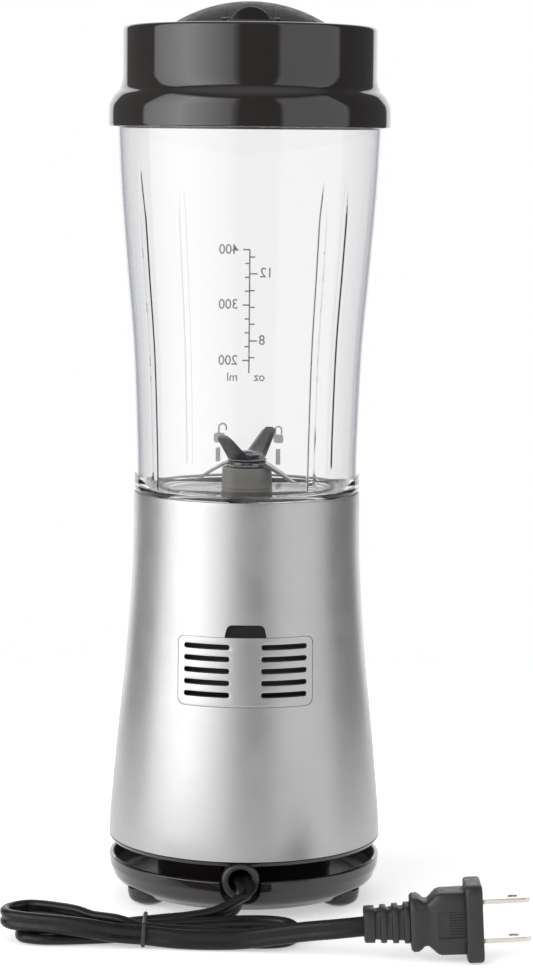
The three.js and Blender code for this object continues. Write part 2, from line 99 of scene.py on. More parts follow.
SHELL_FINE = catmull(SHELL_LINE, 12)
JAR_FINE = catmull(JAR_LINE, 12)


def rounded(points, steps=5):
    """A closed outline of (x, y, corner radius) with its corners rounded."""
    out = []
    count = len(points)
    for i, (x, y, radius) in enumerate(points):
        here = Vector((x, y))
        if radius <= 0:
            out.append((x, y))
            continue
        before = (Vector(points[i - 1][:2]) - here)
        after = (Vector(points[(i + 1) % count][:2]) - here)
        half = before.angle(after) / 2
        reach = min(radius / math.tan(half), before.length * 0.49, after.length * 0.49)
        start = here + before.normalized() * reach
        end = here + after.normalized() * reach
        for k in range(steps + 1):
            t = k / steps
            point = start * (1 - t) ** 2 + here * 2 * t * (1 - t) + end * t * t
            out.append((point.x, point.y))
    return out


def ellipse(rx, ry, count):
    return [
        (rx * math.cos(math.tau * i / count), ry * math.sin(math.tau * i / count))
        for i in range(count)
    ]


# ------------------------------------------------------------------ meshes
def make(name, points, faces, material, body=None, sharp=35.0):
    """A mesh object from points in millimetres. Edges sharper than that many degrees stay sharp."""
    mesh = bpy.data.meshes.new(name)
    mesh.from_pydata([tuple(c * MM for c in p) for p in points], [], faces)
    mesh.validate()
    tidy = bmesh.new()
    tidy.from_mesh(mesh)
    bmesh.ops.remove_doubles(tidy, verts=tidy.verts, dist=1e-7)
    bmesh.ops.recalc_face_normals(tidy, faces=tidy.faces)
    tidy.to_mesh(mesh)
    tidy.free()
    mesh.shade_smooth()
    mesh.set_sharp_from_angle(angle=math.radians(sharp))
    piece = bpy.data.objects.new(name, mesh)
    bpy.context.scene.collection.objects.link(piece)
    if material:
        mesh.materials.append(material)
    if body:
        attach(piece, body)
    return piece


def turn_mesh(outline, sides):
    """Points and faces of an outline of (radius, height) turned about Z. It closes on itself."""
    points, faces, rings = [], [], []
    for r, z in outline:
        if abs(r) < 1e-6:
            rings.append([len(points)] * sides)
            points.append((0, 0, z))
        else:
            rings.append(list(range(len(points), len(points) + sides)))
            points += [
                (r * math.cos(math.tau * i / sides), r * math.sin(math.tau * i / sides), z)
                for i in range(sides)
            ]
    for a, b in zip(rings, rings[1:] + rings[:1]):
        for i in range(sides):
            k = (i + 1) % sides
            corners = list(dict.fromkeys((a[i], a[k], b[k], b[i])))
            if len(corners) > 2:
                faces.append(corners)
    return points, faces


def braced(outline):
    """Adds points close to the ends of long stretches, so that smooth shading stays flat along them."""
    made = []
    for (r0, z0), (r1, z1) in zip(outline, outline[1:] + outline[:1]):
        made.append((r0, z0))
        reach = math.hypot(r1 - r0, z1 - z0)
        if reach > 2:
            for t in (0.35 / reach, 1 - 0.35 / reach):
                made.append((r0 + (r1 - r0) * t, z0 + (z1 - z0) * t))
    return made


def lathe(name, outline, material, body=None, sides=ROUND):
    points, faces = turn_mesh(braced(outline), sides)
    return make(name, points, faces, material, body)


def loft(name, rings, material, body=None, sharp=35.0):
    """A closed skin over rings of the same number of points, with both ends capped."""
    count = len(rings[0])
    points = [p for ring in rings for p in ring]
    faces = []
    for level in range(len(rings) - 1):
        base = level * count
        for i in range(count):
            k = (i + 1) % count
            faces.append((base + i, base + k, base + count + k, base + count + i))
    faces.append(tuple(reversed(range(count))))
    last = (len(rings) - 1) * count
    faces.append(tuple(last + i for i in range(count)))
    return make(name, points, faces, material, body, sharp)


def prism(name, outline, low, high, material=None, body=None, axis="Z"):
    """A flat outline carried along an axis from low to high."""
    def place(x, y, t):
        return {"Z": (x, y, t), "Y": (x, t, y), "X": (t, x, y)}[axis]
    return loft(name, [[place(x, y, t) for x, y in outline] for t in (low, high)], material, body)


def block_outline(x0, x1, y0, y1, radius):
    return rounded([(x0, y0, radius), (x1, y0, radius), (x1, y1, radius), (x0, y1, radius)])


def settle(piece):
    """Replaces a piece's mesh by what its modifiers make."""
    bpy.context.view_layer.update()
    graph = bpy.context.evaluated_depsgraph_get()
    mesh = bpy.data.meshes.new_from_object(piece.evaluated_get(graph))
    piece.modifiers.clear()
    piece.data = mesh
    return piece


def boolean(piece, tools, operation="DIFFERENCE"):
    """Cuts, joins or intersects, then throws the tools away."""
    for tool in tools:
        modifier = piece.modifiers.new("cut", "BOOLEAN")
        modifier.operation = operation
        modifier.solver = "EXACT"
        modifier.object = tool
    settle(piece)
    for tool in tools:
        bpy.data.objects.remove(tool)
    return piece


def soften(piece, width, segments=3, angle=30.0):
    """Rounds the sharp edges of a piece."""
    bevel = piece.modifiers.new("edges", "BEVEL")
    bevel.width = width * MM
    bevel.segments = segments
    bevel.limit_method = "ANGLE"
    bevel.angle_limit = math.radians(angle)
    bevel.harden_normals = False
    bevel.use_clamp_overlap = True
    return piece


def shade(piece, sharp=35.0):
    piece.data.shade_smooth()
    piece.data.set_sharp_from_angle(angle=math.radians(sharp))
    return piece


# ------------------------------------------------------------------ materials
class Finish:
    """A node material: a principled shader with helpers that add procedural detail."""

    def __init__(self, name, color, roughness, metallic=0.0, **constant):
        self.material = bpy.data.materials.new(name)
        self.material.use_nodes = True
        self.tree = self.material.node_tree
        self.shader = self.tree.nodes["Principled BSDF"]
        self.color = (*color, 1.0)
        self.roughness = roughness
        self.shader.inputs["Base Color"].default_value = self.color
        self.shader.inputs["Roughness"].default_value = roughness
        self.shader.inputs["Metallic"].default_value = metallic
        for socket, value in constant.items():
            self.shader.inputs[socket.replace("_", " ")].default_value = value
        self.place = self.node("ShaderNodeTexCoord").outputs["Object"]

    def node(self, kind, **settings):
        made = self.tree.nodes.new(kind)
        for key, value in settings.items():
            setattr(made, key, value)
        return made

    def link(self, a, b):
        self.tree.links.new(a, b)

    def noise(self, size, detail=3.0, stretch=(1, 1, 1)):
        """A noise whose features are about size millimetres across."""
        mapping = self.node("ShaderNodeMapping")
        mapping.inputs["Scale"].default_value = stretch
        self.link(self.place, mapping.inputs["Vector"])
        noise = self.node("ShaderNodeTexNoise")
        noise.inputs["Scale"].default_value = 1 / (size * MM)
        noise.inputs["Detail"].default_value = detail
        self.link(mapping.outputs["Vector"], noise.inputs["Vector"])
        return noise.outputs["Fac"]

    def ramp(self, factor, low, high, start=0.3, end=0.7):
        ramp = self.node("ShaderNodeMapRange")
        ramp.inputs["From Min"].default_value = start
        ramp.inputs["From Max"].default_value = end
        ramp.inputs["To Min"].default_value = low
        ramp.inputs["To Max"].default_value = high
        self.link(factor, ramp.inputs["Value"])
        return ramp.outputs["Result"]

    def vary_color(self, factor, darker, lighter):
        mix = self.node("ShaderNodeMix", data_type="RGBA")
        mix.inputs["A"].default_value = (*[c * darker for c in self.color[:3]], 1)
        mix.inputs["B"].default_value = (*[min(c * lighter, 1) for c in self.color[:3]], 1)
        self.link(factor, mix.inputs["Factor"])
        self.link(mix.outputs["Result"], self.shader.inputs["Base Color"])
        return self

    def vary_roughness(self, factor, spread):
        low, high = self.roughness * (1 - spread), self.roughness * (1 + spread)
        self.link(self.ramp(factor, low, high), self.shader.inputs["Roughness"])
        return self

    def bump(self, factor, height, strength=1.0):
        bump = self.node("ShaderNodeBump")
        bump.inputs["Strength"].default_value = strength
        bump.inputs["Distance"].default_value = height * MM
        self.link(factor, bump.inputs["Height"])
        self.link(bump.outputs["Normal"], self.shader.inputs["Normal"])
        return self


def silver_paint():
    """Satin metallic paint: fine bright flakes under a thin clear coat."""
    f = Finish("silver_paint", (0.43, 0.43, 0.435), 0.37, 0.80, Coat_Weight=0.15, Coat_Roughness=0.25)
    flakes = f.noise(0.12, 2)
    f.vary_color(f.ramp(flakes, 0, 1), 0.9, 1.1)
    f.vary_roughness(f.noise(9, 2), 0.08)
    return f.bump(flakes, 0.012, 0.5).material


def gloss_black():
    """Polished black plastic with the faint waviness of a moulded surface."""
    f = Finish("gloss_black", (0.016, 0.0135, 0.013), 0.06, Coat_Weight=0.3, Coat_Roughness=0.03)
    f.vary_color(f.noise(14, 3), 0.85, 1.2)
    f.vary_roughness(f.noise(5, 4), 0.35)
    return f.bump(f.noise(24, 1), 0.02, 0.25).material


def satin_black(name="satin_black", level=0.02, roughness=0.42, grain=0.35):
    """Spark-eroded black plastic, with a fine grain."""
    f = Finish(name, (level, level * 0.98, level * 0.97), roughness)
    f.vary_color(f.noise(6, 3), 0.8, 1.3)
    f.vary_roughness(f.noise(3, 3), 0.2)
    return f.bump(f.noise(grain, 3), 0.02, 0.5).material


def clear_plastic():
    """Crystal-clear moulded jar wall, a little grey where a lot of it is looked through."""
    f = Finish("clear_jar", (0.995, 0.995, 0.995), 0.004, Transmission_Weight=1.0, IOR=1.46)
    depth = f.node("ShaderNodeVolumeAbsorption")
    depth.inputs["Color"].default_value = (0.53, 0.505, 0.5, 1)
    depth.inputs["Density"].default_value = 14
    f.link(depth.outputs["Volume"], f.tree.nodes["Material Output"].inputs["Volume"])
    f.vary_roughness(f.noise(12, 3), 0.8)
    return f.bump(f.noise(30, 1), 0.02, 0.2).material


def printed_ink(name="jar_ink", level=0.6):
    """Thin screen-printed ink that lets some of the light behind it through."""
    f = Finish(name, (level, level, level * 1.01), 0.6, Transmission_Weight=0.5)
    f.vary_color(f.noise(0.8, 3), 0.92, 1.08)
    return f.bump(f.noise(0.3, 2), 0.005, 0.4).material


def beige_plastic():
    f = Finish("beige_hub", (0.60, 0.55, 0.47), 0.45)
    f.vary_color(f.noise(2.5, 4), 0.88, 1.12)
    f.vary_roughness(f.noise(1.5, 3), 0.2)
    return f.bump(f.noise(0.25, 3), 0.02, 0.5).material


def steel(name="stainless", color=(0.56, 0.555, 0.55), roughness=0.2, stretch=(1, 1, 14), size=0.5):
    """Ground metal: long fine scratches and a little staining."""
    f = Finish(name, color, roughness, 1.0)
    scratches = f.noise(size, 4, stretch)
    f.vary_color(f.noise(3, 3), 0.86, 1.08)
    f.vary_roughness(scratches, 0.35)
    return f.bump(scratches, 0.006, 0.5).material


def rubber(name="black_rubber", level=0.02, roughness=0.5):
    f = Finish(name, (level, level * 0.95, level * 0.92), roughness, Sheen_Weight=0.05)
    f.vary_color(f.noise(4, 4), 0.8, 1.3)
    f.vary_roughness(f.noise(2, 3), 0.2)
    return f.bump(f.noise(0.3, 3), 0.015, 0.5).material


def cable_vinyl():
    """Satin vinyl jacket with a few dust specks."""
    f = Finish("cable_jacket", (0.006, 0.006, 0.0062), 0.34, Specular_IOR_Level=0.28)
    f.vary_color(f.noise(7, 4), 0.75, 1.4)
    f.vary_roughness(f.noise(2.2, 4), 0.3)
    return f.bump(f.noise(0.6, 3), 0.02, 0.5).material


def plain(name, color, roughness, metallic=0.0, size=1.2):
    """Any other piece: its colour mottled a little, with a fine grain."""
    f = Finish(name, color, roughness, metallic)
    f.vary_color(f.noise(size * 3, 3), 1 - 0.12, 1 + 0.12)
    f.vary_roughness(f.noise(size * 2, 3), 0.2)
    return f.bump(f.noise(size, 3), 0.02, 0.5).material


def layered(name, color, roughness, metallic, pitch):
    """Stacked sheets or wound wire: fine lines a pitch apart, along Z."""
    f = Finish(name, color, roughness, metallic)
    wave = f.node("ShaderNodeTexWave", bands_direction="Z")
    wave.inputs["Scale"].default_value = 1 / (pitch * MM) / 20 * math.pi
    wave.inputs["Distortion"].default_value = 0.4
    f.link(f.place, wave.inputs["Vector"])
    f.vary_color(wave.outputs["Fac"], 0.6, 1.15)
    return f.bump(wave.outputs["Fac"], pitch / 3, 0.6).material


SILVER = silver_paint()
BLACK = gloss_black()
SATIN = satin_black()
CLEAR = clear_plastic()
INK = printed_ink()
PALE_INK = printed_ink("pale_ink", 0.85)
BEIGE = beige_plastic()
STEEL = steel()
ZINC = steel("zinc_steel", (0.50, 0.51, 0.52), 0.3, (1, 1, 1), 0.8)
NICKEL = steel("nickel", (0.66, 0.63, 0.58), 0.2, (14, 1, 1), 0.4)
RUBBER = rubber()
CABLE = cable_vinyl()
PLUG = satin_black("plug_vinyl", 0.016, 0.46, 0.3)
LEAF = satin_black("lid_texture", 0.022, 0.5, 0.5)
FOOT = rubber("foot_rubber", 0.014, 0.16)
# A lighter, rougher copy of the black for the cord's bell mouth: the satin finish is its own, and its
# raised grey is painted light for the bright crescent on its left side.
LIT_MOUTH = satin_black("mouth_satin_painted_light", 0.035, 0.3, 0.4)
# A lighter grey copy of the tray's black for the bowl's inner faces: painted light.
PAINTED_LIT_INSIDE = satin_black("tray_inside_painted_light", 0.075, 0.4, 0.5)
# A darker, browner copy of the stainless steel for the upper blades: painted shade.
SHADED_STEEL = steel("shaded_blade_steel", (0.30, 0.285, 0.27), 0.26, (1, 1, 14), 0.5)
LAMINATION = layered("lamination", (0.16, 0.165, 0.17), 0.4, 0.9, 0.5)
COPPER = layered("copper", (0.60, 0.24, 0.09), 0.3, 0.9, 0.4)
BRONZE = plain("bronze", (0.5, 0.33, 0.13), 0.35, 0.9, 0.4)
CARBON = plain("carbon", (0.03, 0.03, 0.03), 0.6)
SILICONE = plain("white_silicone", (0.74, 0.74, 0.71), 0.4)
NYLON = plain("white_nylon", (0.70, 0.70, 0.67), 0.4)

BY_SLOT = {
    "silver_paint": SILVER, "gloss_black": BLACK, "satin_black": SATIN, "clear_jar": CLEAR,
    "beige_hub": BEIGE, "stainless": STEEL, "zinc_steel": ZINC, "lamination": LAMINATION,
    "copper": COPPER, "bronze": BRONZE, "carbon": CARBON, "black_rubber": RUBBER,
    "white_silicone": SILICONE, "white_nylon": NYLON, "cable_jacket": CABLE,
    "plug_vinyl": PLUG, "nickel": NICKEL,
}


def finish(piece, slot, *nodes):
    """Hides the CAD nodes that a new piece stands for. The slot is not used."""
    if nodes:
        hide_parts(*nodes)
    return piece


def dress_nodes():
    """Gives every CAD node the finish of its material slot."""
    for row in frame["record"]["subparts"]:
        node = frame["nodes"][row["node"]]
        node.data.materials.clear()
        node.data.materials.append(BY_SLOT[row["material_slot"]])


# ------------------------------------------------------------------ camera
def make_camera():
    """The photograph's view: a long lens behind the blender, a little above it, looking down."""
    data = bpy.data.cameras.new("camera")
    data.sensor_width = 36
    data.lens = 106.67
    data.clip_start = 0.05
    data.clip_end = 50
    pitch, yaw, roll = 0.1161, -0.0069, 0.0091
    camera = bpy.data.objects.new("camera", data)
    bpy.context.scene.collection.objects.link(camera)
    look = Matrix.Rotation(yaw, 4, "Z") @ Matrix.Rotation(math.pi / 2 - pitch, 4, "X")
    place = Matrix.Translation((0, -0.9746, 0.2556))
    camera.matrix_world = place @ look @ Matrix.Rotation(roll, 4, "Z")
    bpy.context.scene.camera = camera


# ------------------------------------------------------------------ cord
CORD_WIDTH = 6.5
CORD_THICK = 3.3
TIE_X = -32
UP, ACROSS, LEAN, FLAT = (0, 0, 1), (1, 0, 0.1), (0.1, 0.95, 0.35), (0, 1, 0.02)

# The cord's line, (x, y, z), and the way its wide side points: out of the mouth, down to the floor,
# then folded left, right and left again inside the tie, and away to the plug.
CORD_ROUTE = [
    ((-1, -30, 14.3), ACROSS), ((-1, -37, 14.3), ACROSS), ((-0.4, -42.4, 14.2), ACROSS),
    ((0.6, -46.4, 12.7), (0.9, 0.2, 0.4)), ((-0.8, -50, 9.8), (0.65, 0.3, 0.7)),
    ((-4.5, -53.6, 7.3), (0.35, 0.2, 0.9)), ((-10, -57, 5.6), UP), ((-18, -60, 4.9), UP),
    ((-25, -62.3, 4.8), UP), ((-32, -64.4, 4.6), UP), ((-41, -63.6, 3.4), (0, 0.6, 0.7)),
    ((-50, -60.6, 2.8), LEAN), ((-58, -58.4, 2.9), LEAN), ((-65.2, -58.2, 3.3), (0, 0.4, 0.85)),
    ((-70.3, -60.4, 3.4), UP), ((-72.5, -64.8, 3.4), UP), ((-70.6, -69.0, 3.1), (0.1, 0.6, 0.75)),
    ((-66, -70.9, 2.3), (0, 0.95, 0.25)),
    ((-60, -71.2, 1.95), FLAT), ((-50, -70.0, 1.95), FLAT), ((-41, -68.4, 3.0), (0, 0.7, 0.7)),
    ((-32, -67.7, 4.3), UP), ((-22, -64.8, 3.9), UP), ((-11, -60.6, 3.4), UP), ((0, -58.4, 3.3), UP),
    ((8.4, -58.9, 3.4), UP), ((14.2, -61.4, 3.4), UP), ((16.7, -67.0, 3.4), UP),
    ((14.3, -72.5, 3.4), UP), ((8.5, -75.0, 3.4), UP), ((1, -75.0, 3.4), UP),
    ((-6, -73.8, 3.3), UP), ((-18, -72.0, 3.6), UP), ((-32, -71.1, 4.3), UP),
    ((-41, -69.6, 6.4), UP), ((-49, -66, 6.6), UP), ((-55, -62.8, 7.6), UP), ((-64.5, -57, 7.4), UP),
    ((-70.8, -55.2, 7.2), UP), ((-75.6, -57.6, 7.0), UP), ((-77.6, -62, 7.0), UP),
    ((-75.8, -66.6, 7.0), UP), ((-70.4, -69.8, 7.0), UP),
    ((-60, -72.8, 6.9), UP), ((-50, -74.2, 6.2), UP), ((-41, -74.6, 4.9), UP), ((-32, -74.4, 4.15), UP),
    ((-22, -76, 3.5), UP), ((-11, -76.9, 3.35), UP), ((0, -77.6, 3.9), UP), ((10, -79, 5.6), UP),
    ((20, -81, 7.5), UP), ((29, -83, 8.9), UP), ((36, -83.9, 9.9), UP), ((41, -84.1, 10.5), UP),
]


def cord_section():
    """Two round conductors side by side with a groove between them, (across, through)."""
    lobe, offset, groove = CORD_THICK / 2, (CORD_WIDTH - CORD_THICK) / 2, 1.05
    section = []
    for side in (1, -1):
        for k in range(13):
            angle = math.radians(-125 + 250 * k / 12)
            section.append((side * (offset + lobe * math.cos(angle)), side * lobe * math.sin(angle)))
        section.append((0, side * groove))
    return section


def make_cord():
    line = catmull([p + w for p, w in CORD_ROUTE], 8)
    centres = [Vector(p[:3]) for p in line]
    section = cord_section()
    rings = []
    for i, row in enumerate(line):
        ahead = centres[min(i + 1, len(line) - 1)] - centres[max(i - 1, 0)]
        ahead.normalize()
        wide = Vector(row[3:])
        wide = (wide - ahead * wide.dot(ahead)).normalized()
        thin = ahead.cross(wide)
        rings.append([tuple(centres[i] + wide * a + thin * b) for a, b in section])
    cord = loft("power_cord_jacket", rings, CABLE, "base", 50)
    finish(cord, "cable_jacket", "power_cord", "cord_hank", "power_cord_end")
    length = sum((b - a).length for a, b in zip(centres, centres[1:]))
    return cord, [tuple(c * MM for c in p) for p in centres], length * MM


def make_tie():
    """A round rubber ring squeezed tall and narrow round the cord's runs."""
    low, high = node_box("cord_tie")
    wire = 0.7
    outline = block_outline(low.y + wire, high.y - wire, low.z + wire, high.z - wire, 1.8)
    centre = (low + high) / 2
    rings = []
    for y, z in outline:
        out = Vector((0, y - centre.y, z - centre.z)).normalized()
        lean = 0.5 * (z - centre.z) / (high.z - low.z)
        ring = []
        for k in range(16):
            a = math.tau * k / 16
            rise = wire * math.sin(a)
            ring.append((TIE_X + lean + wire * math.cos(a), y + out.y * rise, z + out.z * rise))
        rings.append(ring)
    count = len(rings)
    points = [p for ring in rings for p in ring]
    faces = []
    for i in range(count):
        this, after = i * 16, (i + 1) % count * 16
        for k in range(16):
            beside = (k + 1) % 16
            faces.append((this + k, this + beside, after + beside, after + k))
    return finish(make("tie_ring", points, faces, RUBBER, "base"), "black_rubber", "cord_tie")


# ------------------------------------------------------------------ plug
PLUG_FACE = Vector((76, -84.2, 12.9))
PLUG_TILT = math.radians(-3)


def plug_place(piece):
    """Moves a piece from the plug's own frame, flange face at x = 0, to where the plug lies."""
    turn = Matrix.Translation(PLUG_FACE * MM) @ Matrix.Rotation(PLUG_TILT, 4, "Y")
    piece.data.transform(turn)
    return piece


def squircle(half_y, half_z, power, count=48):
    ring = []
    for i in range(count):
        a = math.tau * i / count
        c, s = math.cos(a), math.sin(a)
        ring.append((
            half_y * math.copysign(abs(c) ** (2 / power), c),
            half_z * math.copysign(abs(s) ** (2 / power), s),
        ))
    return ring


def make_plug():
    # Stations along the plug: x, half depth, half height, squareness.
    stations = [(-37.7, 4.0, 5.0, 4), (-37.4, 4.5, 5.6, 4), (-34.4, 4.5, 5.7, 4), (-34.1, 3.5, 4.7, 4)]
    for k, x in enumerate((-32.6, -28.8, -25.1)):
        grow = 0.22 * (k + 1)
        stations += [
            (x, 3.5 + grow, 4.7 + grow, 4), (x + 0.25, 4.4 + grow, 5.6 + grow, 4),
            (x + 1.95, 4.4 + grow, 5.65 + grow, 4), (x + 2.2, 3.6 + grow, 4.8 + grow, 4),
        ]
    stations += [
        (-23.0, 4.4, 6.0, 4), (-22.9, 5.6, 8.2, 5), (-22.2, 6.1, 8.9, 5), (-20.6, 6.1, 8.9, 5),
        (-19.6, 5.7, 8.3, 5), (-18.6, 5.0, 7.4, 5), (-17.4, 4.8, 7.3, 5), (-16.2, 5.0, 8.3, 6),
        (-14.6, 5.4, 9.7, 8), (-13.4, 5.6, 10.1, 9), (-4.0, 5.7, 10.2, 9),
    ]
    rings = [[(x, y, z) for y, z in squircle(a, b, n)] for x, a, b, n in stations]
    body = soften(loft("plug_grip", rings, PLUG), 0.25, 2, 40)
    settle(body)
    patch = prism("patch", block_outline(-14.2, -4.9, -4.4, 4.2, 0.4), -20, -5.15, axis="Y")
    boolean(body, [patch])
    shade(body, 40)
    flange = prism("plug_flange", rounded([
        (-8, -12.6, 3), (8, -12.6, 3), (8, 12.6, 3), (-8, 12.6, 3)]), -5.4, 0, PLUG, axis="X")
    soften(flange, 0.9, 3, 40)
    settle(flange)
    shade(flange, 50)
    pieces = [body, flange]
    for row in range(9):
        z = -3.6 + row * 0.9
        ridge = block_outline(-10.6, -5.4, z, z + 0.4, 0.15)
        pieces.append(prism(f"plug_ridge_{row + 1}", ridge, -5.4, -4.9, PLUG, axis="Y"))
    for piece in pieces:
        plug_place(piece)
        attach(piece, "base")
    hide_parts("plug_body")
    return pieces


def make_plug_blades():
    blades = []
    for name, side in (("upper", 1), ("lower", -1)):
        outline = rounded([(-1, -3.18, 0), (15.4, -3.18, 2.2), (15.4, 3.18, 2.2), (-1, 3.18, 0)])
        blade = prism(f"prong_{name}", outline, side * 6.35 - 0.76, side * 6.35 + 0.76, NICKEL)
        hole = prism("hole", ellipse(1.6, 1.6, 32), side * 6.35 - 3, side * 6.35 + 3)
        hole.data.transform(Matrix.Translation((9.9 * MM, 0, 0)))
        boolean(blade, [hole])
        soften(blade, 0.28, 3, 40)
        settle(blade)
        shade(blade, 40)
        plug_place(blade)
        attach(blade, "base")
        blades.append(finish(blade, "nickel", f"plug_blade_{name}"))
    return blades


# ------------------------------------------------------------------ tray, core and feet
OUTLET = Vector((-1, 0, 14.4))
OUTLET_BORE = 6.5
NOTCH_HALF = 6.8
FEET = ("foot_front", "foot_left", "foot_right")
FOOT_POCKET = 7.25
# Cutters along Y run from well outside the rear wall to well inside it.
REAR_CUT = (-60, -20)


def foot_place(node):
    """The move from the axis to a foot's centre, and the height of the foot's top."""
    low, high = node_box(node)
    centre = (low + high) / 2
    return Matrix.Translation((centre.x * MM, centre.y * MM, 0)), high.z


def make_tray():
    outline = rounded([
        (0, 3.3, 0), (40.2, 3.3, 2.5), (44.9, 6.6, 5), (46.4, 11.0, 4), (46.55, 14.3, 0.5),
        (45.0, 14.3, 0.5),
        (44.1, 9.8, 4), (42.0, 5.6, 4), (0, 5.6, 0),
    ], 7)
    tray = lathe("cord_tray", outline, BLACK, "base")
    notch = prism("notch", rounded([
        (OUTLET.x - NOTCH_HALF, 6.4, 6.2), (OUTLET.x + NOTCH_HALF, 6.4, 6.2),
        (OUTLET.x + NOTCH_HALF, 30, 0), (OUTLET.x - NOTCH_HALF, 30, 0),
    ], 10), -60, -40, axis="Y")
    pockets = []
    for node in FEET:
        place, top = foot_place(node)
        pocket = prism("pocket", ellipse(FOOT_POCKET, FOOT_POCKET, 48), -1, top + 0.2)
        pocket.data.transform(place)
        pockets.append(pocket)
    boolean(tray, [notch])
    soften(tray, 0.5, 3, 50)
    settle(tray)
    boolean(tray, pockets)
    shade(tray, 40)
    # The bowl's inner faces get a lighter grey copy of the black: painted light on the inside of the bowl.
    tray.data.materials.append(PAINTED_LIT_INSIDE)
    for face in tray.data.polygons:
        x, y, z = face.center / MM
        inward = face.normal.x * x + face.normal.y * y < 0
        if z > 5.3 and math.hypot(x, y) < 45.4 and (inward or face.normal.z > 0.7):
            face.material_index = 1
    finish(tray, "gloss_black", "spool_dish")


def make_core():
    outline = rounded([
        (27.6, 5.8, 0.3), (30, 5.8, 0.3), (30, 19.2, 0.8), (45.1, 19.2, 0), (46.1, 19.7, 0.8),
        (46.6, 20.9, 0), (27.6, 20.9, 0.3),
    ], 5)
    core = lathe("core_flange", outline, BLACK, "base")
    mouth = prism("mouth", ellipse(OUTLET_BORE, OUTLET_BORE, 48), *REAR_CUT, axis="Y")
    mouth.data.transform(Matrix.Translation(OUTLET * MM))
    boolean(core, [mouth])
    shade(core, 35)
    finish(core, "gloss_black", "base_core")


def make_feet():
    outline = rounded([
        (0, 0, 0), (3.4, 0, 2.4), (6.6, 1.6, 3.2), (7.2, 4.6, 2), (7.2, 6.0, 0.3), (0, 6.0, 0),
    ], 7)
    for node in FEET:
        foot = lathe(node + "_pad", outline, FOOT, None, SMALL)
        foot.data.transform(foot_place(node)[0])
        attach(foot, "base")
        finish(foot, "black_rubber", node)


def make_bushing():
    """The bell mouth that the cord comes out of, widening towards the rear."""
    outline = rounded([
        (3.9, -18.5, 0.3), (5.2, -18.5, 0.3), (5.5, 0, 3), (6.3, 3.6, 1.2), (6.3, 7.0, 1.15),
        (3.9, 7.0, 1.15),
    ], 6)
    # The mouth's lighter satin black is partly painted light.
    bush = lathe("cord_mouth", outline, LIT_MOUTH, None, SMALL)
    place = Matrix.Translation((OUTLET.x * MM, -38.6 * MM, OUTLET.z * MM))
    bush.data.transform(place @ Matrix.Rotation(math.pi / 2, 4, "X"))
    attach(bush, "base")
    return finish(bush, "gloss_black", "cord_bushing")


# ------------------------------------------------------------------ shell, grille, drain, button
VENT = {"low": 72.4, "high": 95.2, "half": 22.3, "column": 12.8, "slot": 7.55, "pitch": 3.95,
        "middle": 84.2}
SHELL_WALL = 2.1
BUTTON_PLACE = Matrix.Translation((0, 0, 85 * MM))


def shell_skin(name, inset, thick, material=None):
    """The shell's wall, following its outline."""
    outer = [(r - inset, z) for r, z in SHELL_FINE]
    inner = [(r - inset - thick, z) for r, z in reversed(SHELL_FINE)]
    return lathe(name, outer + inner, material, None)


def vent_outline(grow):
    half = VENT["half"] + grow
    return block_outline(-half, half, VENT["low"] - grow, VENT["high"] + grow, 2.6)


def drain_outline(grow):
    return rounded([
        (-6.9 - grow, 95.2 - grow, 0.2), (6.9 + grow, 95.2 - grow, 0.2), (6.0 + grow, 99.4 + grow, 2.3),
        (-6.0 - grow, 99.4 + grow, 2.3),
    ])


def make_shell():
    outer = [(r, z) for r, z in SHELL_FINE[:-1]] + [(38.6, 139.3)]
    inner = [(r - SHELL_WALL, z) for r, z in reversed(SHELL_FINE)]
    lip = [(38.5, 139.75), (38.2, 139.85), (36.7, 139.85), (36.5, 139.7)]
    shell = lathe("silver_shell", outer + lip + inner, SILVER)
    window = prism("window", vent_outline(0.14), *REAR_CUT, axis="Y")
    drain = prism("drain", drain_outline(0.1), *REAR_CUT, axis="Y")
    button = prism("button", ellipse(12.4, 12.4, 96), 20, 60, axis="Y")
    button.data.transform(BUTTON_PLACE)
    boolean(shell, [window, drain, button])
    shade(shell, 40)
    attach(shell, "base")
    finish(shell, "silver_paint", "base_shell")


def make_grille():
    panel = shell_skin("vent_panel", 0.05, 2.0, SILVER)
    boolean(panel, [prism("frame", vent_outline(0), *REAR_CUT, axis="Y")], "INTERSECT")
    slots = []
    for side in (-1, 1):
        for row in range(-2, 3):
            x, z = side * VENT["column"], VENT["middle"] + row * VENT["pitch"]
            outline = block_outline(x - VENT["slot"], x + VENT["slot"], z - 0.9, z + 0.9, 0.89)
            slots.append(prism("slot", outline, *REAR_CUT, axis="Y"))
    boolean(panel, slots)
    soften(panel, 0.42, 3, 50)
    settle(panel)
    shade(panel, 40)
    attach(panel, "base")
    finish(panel, "silver_paint", "vent_grille")


def make_drain():
    """The drain's dark lip, and a dark sheet behind the vents that closes the view through them: painted
    shade for the inside of the base.
    """
    spout = prism("drain_lip", drain_outline(-0.15), -38.4, -36.6, BLACK, "base", "Y")
    finish(spout, "gloss_black", "drain_spout")
    # A dark sheet behind the vent slots: painted shade for the shaded inside of the base.
    dark = prism("vent_painted_shade", block_outline(-20.5, 20.5, 71, 96, 2), -31.8, -31.0, SATIN, "base", "Y")


def make_button():
    """A plain domed round button, with a flange that keeps it inside the shell."""
    outline = rounded([
        (0, 30.6, 0), (2.5, 30.6, 0.2), (2.5, 34.2, 0), (13.4, 34.2, 0.2), (13.4, 35.6, 0.2), (12, 35.6, 0),
        (12, 41.5, 1.2), (0, 42.4, 0),
    ])
    cap = lathe("pulse_cap", outline, BLACK, None, 96)
    cap.data.transform(BUTTON_PLACE @ Matrix.Rotation(-math.pi / 2, 4, "X"))
    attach(cap, "button")
    finish(cap, "gloss_black", "pulse_button")


# ------------------------------------------------------------------ jar
# Degrees for the centres and half-width; slope is the share of the half-width that each side takes.
RIB = {"centres": (35, 125, 215, 305), "half": 2.3, "depth": 0.6, "slope": 0.35, "floor": 141,
       "top": 249, "tip": 16}


